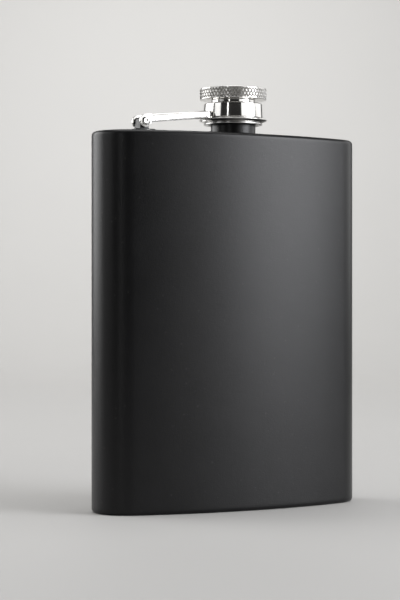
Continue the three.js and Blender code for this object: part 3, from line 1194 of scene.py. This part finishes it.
@dataclass
class Arm:
    """The captive arm: a strip folded to a channel, with two ears and a saucer under the cap."""

    finishes: Finishes
    width: float = 6.0
    sheet: float = 0.6
    depth: float = 2.3
    ear: float = 2.05
    bend: float = 0.7
    web_start: float = 2.3
    end_top: float = 7.55
    skirt_gap: float = 10.1
    saucer: float = 11.1
    saucer_flat: float = 9.7
    saucer_hole: float = 8.85
    saucer_low: float = 4.0
    saucer_high: float = 5.0
    relief: float = 0.3
    relief_corner: float = 0.15
    ear_open: float = 0.12
    foot_reach: float = 0.35
    leg_inset: float = 0.05
    leg: float = 0.65
    leg_gap: float = 0.02
    leg_sunk: float = 0.35

    def __post_init__(self) -> None:
        """Finds the pin, and the arm's rise towards the cap, in millimetres."""
        low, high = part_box("hinge_pin")
        self.pin_x = (low.x + high.x) / 2 / MM
        self.pin_z = ((low.z + high.z) / 2 - TOP) / MM
        over_pin = self.pin_z + self.ear
        self.slope = (self.end_top - over_pin) / (-self.skirt_gap - self.pin_x)

    def top(self, x: float) -> float:
        """Height of the arm's top at x, above the top plate."""
        return self.pin_z + self.ear + self.slope * (x - self.pin_x)

    def end(self, y: float) -> float:
        """X at which the arm stops beside the round skirt."""
        return -math.sqrt(self.skirt_gap**2 - y * y)

    def _side(self) -> Outline:
        """One folded side: from the web's start round the ear and along the lower edge to the cap."""
        lean = math.atan(self.slope)
        first = math.pi / 2 + lean
        sweep = math.tau * 0.75 - self.ear_open
        turns = [first + a for a in fan(sweep, 30)]
        ear = [(self.pin_x + self.ear * math.cos(a), self.pin_z + self.ear * math.sin(a)) for a in turns]
        half = self.width / 2
        last = self.end(half)
        foot_x = self.pin_x + self.ear + self.foot_reach
        relief = self.pin_x + self.web_start - self.relief
        return [
            (relief, self.top(relief) - self.bend),
            (relief, self.top(relief) - self.relief_corner),
            (relief - self.relief_corner, self.top(relief - self.relief_corner)),
            *ear,
            (foot_x, self.top(foot_x) - self.depth),
            (last, self.top(last) - self.depth),
        ]

    def build_channel(self) -> Object:
        """Builds the folded strip as one sheet and gives it its thickness.

        Returns:
            The strip, with its pieces still to be joined.
        """
        shape = Shape()
        half = self.width / 2
        start = self.pin_x + self.web_start
        turns = fan(math.pi / 2, 6)
        near = [(-half + self.bend * (1 - math.cos(a)), self.bend * (1 - math.sin(a))) for a in turns]
        flat = [(-half + self.bend + (self.width - 2 * self.bend) * k / 10, 0.0) for k in range(1, 10)]
        section = near + flat + [(-y, drop) for y, drop in reversed(near)]
        lines = []
        for y, drop in section:
            ends = [(start, self.top(start) - drop), (self.end(y), self.top(self.end(y)) - drop)]
            lines.append([shape.bm.verts.new(self._place(x, y, z)) for x, z in ends])
        for first, second in zip(lines, lines[1:]):
            shape.bm.faces.new([first[0], first[1], second[1], second[0]])
        for y, (fold_start, fold_end) in ((-half, lines[0]), (half, lines[-1])):
            loop = [shape.bm.verts.new(self._place(x, y, z)) for x, z in self._side()]
            shape.bm.faces.new([fold_start, *loop, fold_end])
        bmesh.ops.recalc_face_normals(shape.bm, faces=shape.bm.faces)
        web = max(shape.bm.faces, key=lambda face: face.calc_center_median().z)
        if web.normal.z < 0:
            bmesh.ops.reverse_faces(shape.bm, faces=shape.bm.faces)
        strip = shape.take("arm_strip", recalculate=False)
        thick = strip.modifiers.new("sheet", "SOLIDIFY")
        thick.thickness = self.sheet * MM
        thick.offset = -1.0
        thick.use_even_offset = True
        bevel(strip, 0.09 * MM, 2, 50.0)
        return strip

    @staticmethod
    def _place(x: float, y: float, z: float) -> Vector:
        """A point of the arm, from millimetres about the cap's axis to the flask's frame."""
        return CAP_AXIS + Vector((x, y, z)) * MM

    def build_saucer(self) -> Object:
        """Builds the pressed saucer that the cap turns in.

        Returns:
            The saucer.
        """
        s = self.sheet
        corners = [
            (self.saucer_hole, self.saucer_low, 0.12),
            (self.saucer_flat - 0.15, self.saucer_low, 0.5),
            (self.saucer, self.saucer_high - 0.35, 0.3),
            (self.saucer, self.saucer_high, 0.15),
            (self.saucer - 0.5, self.saucer_high, 0.15),
            (self.saucer_flat + 0.05, self.saucer_low + s, 0.3),
            (self.saucer_hole, self.saucer_low + s, 0.12),
        ]
        return turned("arm_saucer", corners, 5)

    def build_joggle(self) -> Object:
        """Builds the short curved leg by which the strip steps down to the saucer.

        Returns:
            The leg.
        """
        shape = Shape()
        spread = math.asin((self.width / 2 - self.leg_inset) / self.skirt_gap)
        angles = [math.pi - spread + a for a in fan(2 * spread, 12)]
        outer, inner = self.skirt_gap + self.leg, self.skirt_gap + self.leg_gap
        top, low = self.end_top - self.sheet * 0.6, self.saucer_low + self.leg_sunk
        rings = []
        for a in angles:
            corners = [(inner, low), (outer, low), (outer, top), (inner, top)]
            points = [self._place(r * math.cos(a), r * math.sin(a), z) for r, z in corners]
            rings.append(shape.ring(points))
        shape.solid(rings)
        return shape.take("arm_joggle")

    def build(self) -> None:
        """Builds the arm as one folded and pressed piece."""
        strip = self.build_channel()
        unite(strip, self.build_joggle())
        unite(strip, self.build_saucer())
        strip.name = "captive_strap"
        reach = min(corner[0] for corner in strip.bound_box)
        if reach > self._place(self.pin_x, 0.0, 0.0).x:
            raise RuntimeError("the arm lost its strip when its pieces were joined")
        dress(strip, Part.ARM, self.finishes.arm, ("captive_arm",), math.radians(40))


# ---------------------------------------------------------------- the cap


@dataclass
class Cap:
    """The screw cap: threaded sleeve, polished skirt, knurled knob and seal."""

    finishes: Finishes
    sleeve: float = 8.6
    thread_wire: float = 0.28
    thread_pitch: float = 1.5
    thread_turns: float = 2.4
    thread_rise: float = 0.8
    bore: float = 8.05
    lip: float = 9.5
    lip_height: float = 0.55
    skirt_top: float = 9.5
    skirt_foot: float = 9.7
    roof: float = 0.7
    stem: float = 7.1
    tenon: float = 3.0
    knurl_depth: float = 0.32
    knurl_count: int = 60
    knurl_rows: int = 4
    rim: float = 0.3
    crown: float = 0.5
    crown_steps: int = 14
    seal: float = 7.7
    dish: tuple[float, ...] = (5.0, 5.5, 6.9, 7.3)
    dish_depth: float = 0.12

    def __post_init__(self) -> None:
        """Reads the cap's heights above the top plate, in millimetres."""
        self.sleeve_low = above_top("cap_sleeve", 0)
        self.skirt_low = above_top("cap_skirt", 0)
        self.skirt_high = above_top("cap_skirt", 1)
        self.ceiling = self.skirt_high - self.roof
        self.knob_high = above_top("cap_knob", 1) - self.crown
        self.knob_low = self.skirt_high + 1.2
        self.seal_low = above_top("cap_seal", 0)
        low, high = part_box("cap_knob")
        self.knob = (high.x - low.x) / 2 / MM

    def build_sleeve(self) -> None:
        """Builds the sleeve, with its retaining lip and the thread inside."""
        sleeve = turned(
            "cap_threaded_sleeve",
            [
                (self.bore + 0.2, self.sleeve_low, 0.15),
                (self.lip, self.sleeve_low, 0.22),
                (self.lip, self.sleeve_low + self.lip_height, 0.15),
                (self.sleeve, self.sleeve_low + self.lip_height, 0.1),
                (self.sleeve, self.ceiling, 0.0),
                (self.bore, self.ceiling, 0.0),
                (self.bore, self.sleeve_low + 0.5, 0.0),
            ],
        )
        dress(sleeve, Part.CAP, self.finishes.turned, ("cap_sleeve",))
        wire, pitch = self.thread_wire * MM, self.thread_pitch * MM
        low = (self.sleeve_low + self.thread_rise) * MM
        winding = thread(self.bore * MM, wire, pitch, self.thread_turns, low)
        inner = winding.grow("cap_inner_thread", self.finishes.turned)
        dress(inner, Part.CAP, self.finishes.turned, (), SMOOTH_THREAD)

    def build_skirt(self) -> None:
        """Builds the slightly flared skirt."""
        skirt = turned(
            "cap_outer_skirt",
            [
                (self.sleeve, self.skirt_low, 0.08),
                (self.skirt_foot, self.skirt_low, 0.16),
                (self.skirt_top, self.skirt_high, 0.5),
                (self.tenon, self.skirt_high, 0.0),
                (self.tenon, self.ceiling, 0.0),
                (self.sleeve, self.ceiling, 0.0),
            ],
            8,
        )
        dress(skirt, Part.CAP, self.finishes.polished, ("cap_skirt",))

    def build_knob(self) -> None:
        """Builds the knob with its stem, and rolls the knurl round it."""
        band = self.knob - self.knurl_depth
        crown = [
            (self.knob * 0.96 * math.sin(a), self.knob_high + self.crown * math.cos(a) ** 2, 0.0)
            for a in (math.pi / 2 * (1 - k / self.crown_steps) for k in range(1, self.crown_steps + 1))
        ]
        corners = [
            (0.0, self.ceiling, 0.0),
            (self.tenon, self.ceiling, 0.0),
            (self.tenon, self.skirt_high, 0.0),
            (self.stem, self.skirt_high, 0.15),
            (self.stem, self.knob_low, 0.25),
            (self.knob, self.knob_low, 0.18),
            (self.knob, self.knob_low + self.rim, 0.05),
            (band, self.knob_low + self.rim + 0.05, 0.0),
            (band, self.knob_high - self.rim - 0.05, 0.0),
            (self.knob, self.knob_high - self.rim, 0.05),
            (self.knob, self.knob_high, 0.2),
            *crown,
        ]
        knob = turned("cap_knob_turned", corners)
        dress(knob, Part.CAP, self.finishes.polished, ("cap_knob",))
        low = (self.knob_low + self.rim) * MM
        high = (self.knob_high - self.rim) * MM
        pattern = knurl(self.knurl_count, self.knurl_rows, band * MM, low, high, self.knurl_depth * MM)
        rolled = pattern.grow("cap_knob_knurl", self.finishes.knurled)
        dress(rolled, Part.CAP, self.finishes.knurled, (), math.radians(5))

    def build_seal(self) -> None:
        """Builds the seal, a soft disc with a shallow dish where it meets the neck's lip."""
        start, floor_start, floor_end, end = self.dish
        dished = self.seal_low + self.dish_depth
        seal = turned(
            "cap_silicone_seal",
            [
                (0.0, self.seal_low, 0.0),
                (start, self.seal_low, 0.0),
                (floor_start, dished, 0.2),
                (floor_end, dished, 0.2),
                (end, self.seal_low, 0.1),
                (self.seal, self.seal_low, 0.2),
                (self.seal, self.ceiling, 0.1),
                (0.0, self.ceiling, 0.0),
            ],
        )
        dress(seal, Part.CAP, self.finishes.silicone, ("cap_seal",))

    def build(self) -> None:
        """Builds the four pieces of the cap."""
        self.build_sleeve()
        self.build_skirt()
        self.build_knob()
        self.build_seal()


# ---------------------------------------------------------------- the studio


@dataclass(frozen=True)
class Softbox:
    """One soft rectangular light that faces the flask."""

    name: str
    place: Triple
    size: tuple[float, float]
    power: float
    spread: float = 120.0
    aim: Triple = FLASK_MIDDLE
    colour: Triple = (1.0, 1.0, 1.0)

    def build(self) -> None:
        """Hangs the light."""
        data = bpy.data.lights.new(self.name, "AREA")
        data.shape = "RECTANGLE"
        data.spread = math.radians(self.spread)
        data.size, data.size_y = self.size
        data.energy = self.power
        data.color = self.colour
        light = put(self.name, data)
        light.location = self.place
        light.rotation_euler = (Vector(self.aim) - Vector(self.place)).to_track_quat("-Z", "Y").to_euler()


@dataclass
class Studio:
    """The floor, the lights and the camera."""

    reach_behind: float = 1.5
    reach_ahead: float = 0.62
    half_width: float = 0.75
    wall_height: float = 2.2
    wall_bend: float = 0.5
    floor_colour: Colour = (0.4, 0.394, 0.384, 1.0)
    room_colour: Colour = (1.0, 0.985, 0.96, 1.0)
    world: float = 0.03
    backdrop: float = 0.5
    lens: float = 111.0
    camera_place: Triple = (-0.2998, -0.5276, 0.0678)
    camera_heading: float = 28.7

    def build_floor(self) -> None:
        """Lays a plain pale floor that curves up into a wall behind the flask."""
        heading = Matrix.Rotation(math.radians(-self.camera_heading), 4, "Z")
        bend = self.wall_bend
        foot = self.reach_behind - bend
        turns = fan(math.pi / 2, 16)[1:]
        track = [(-self.reach_ahead, 0.0), (foot, 0.0)]
        track += [(foot + bend * math.sin(a), bend * (1 - math.cos(a))) for a in turns]
        track.append((self.reach_behind, self.wall_height))
        shape = Shape()
        sides = []
        for x in (-self.half_width, self.half_width):
            sides.append([shape.bm.verts.new(heading @ Vector((x, y, z))) for y, z in track])
        for i in range(len(track) - 1):
            shape.bm.faces.new([sides[0][i], sides[1][i], sides[1][i + 1], sides[0][i + 1]])
        floor = shape.take("floor", recalculate=False)
        floor.data.shade_smooth()
        made = bpy.data.materials.new("pale_floor")
        made.use_nodes = True
        wiring = Wiring(made.node_tree)
        shader = made.node_tree.nodes["Principled BSDF"]
        position = wiring.add("ShaderNodeTexCoord").outputs["Object"]
        grey = shade(self.floor_colour, 0.97)
        tone = wiring.mix(wiring.noise(position, 9.0, 3.0), self.floor_colour, grey)
        wiring.feed(tone, shader.inputs["Base Color"])
        shader.inputs["Roughness"].default_value = 0.7
        floor.data.materials.append(made)

    def build_lights(self) -> None:
        """Hangs the softboxes; the room is dim, but pale where it is looked at directly."""
        daylight = (0.96, 0.97, 1.0)
        softboxes = (
            Softbox("left_panel", (-0.62, 0.74, 0.4), (0.95, 0.7), 2.75, 90.0, (-0.04, 0.0, 0.1)),
            Softbox("left_side", (-1.0, 0.05, 0.42), (0.5, 0.6), 0.42, 100.0),
            Softbox("slit", (-0.78, -0.66, 0.3), (0.05, 0.6), 0.12, 100.0),
            Softbox("front_fill", (0.24, -1.1, 0.36), (0.36, 0.7), 0.38, 100.0),
            Softbox("right_window", (0.76, -0.84, 0.43), (0.8, 0.78), 4.4, 80.0, colour=daylight),
            Softbox("right_panel", (1.1, 0.0, 0.45), (1.0, 0.8), 1.1, 90.0),
            Softbox("overhead", (0.0, -0.05, 1.1), (1.1, 0.9), 4.6),
            Softbox("backdrop_wash", (0.35, 0.75, 1.3), (0.5, 0.3), 16.0, 140.0, (0.7, 1.35, 0.5)),
        )
        for softbox in softboxes:
            softbox.build()
        world = bpy.data.worlds.new("room")
        world.use_nodes = True
        wiring = Wiring(world.node_tree)
        looked_at = wiring.add("ShaderNodeLightPath").outputs["Is Camera Ray"]
        strength = wiring.spread(looked_at, 0.0, 1.0, self.world, self.backdrop)
        background = world.node_tree.nodes["Background"].inputs
        wiring.feed(self.room_colour, background["Color"])
        wiring.feed(strength, background["Strength"])
        bpy.context.scene.world = world
        bpy.context.scene.view_settings.view_transform = "Standard"

    def build_camera(self) -> None:
        """Stands the camera level, to the flask's left and in front of it."""
        data = bpy.data.cameras.new("camera")
        data.sensor_width = 36.0
        data.lens = self.lens
        data.clip_start = 0.01
        camera = put("camera", data)
        camera.location = self.camera_place
        camera.rotation_euler = (math.pi / 2, 0.0, -math.radians(self.camera_heading))
        bpy.context.scene.camera = camera

    def build(self) -> None:
        """Sets up the whole studio."""
        self.build_floor()
        self.build_lights()
        self.build_camera()


def main() -> None:
    """Builds the flask, then the studio."""
    logging.basicConfig(level=logging.INFO, format="%(name)s: %(message)s")
    finishes = Finishes()
    for assembly in (Body(finishes), Neck(finishes), Hinge(finishes), Arm(finishes), Cap(finishes)):
        log.info("building %s", type(assembly).__name__)
        assembly.build()
    Studio().build()


if __name__ == "__main__":
    main()
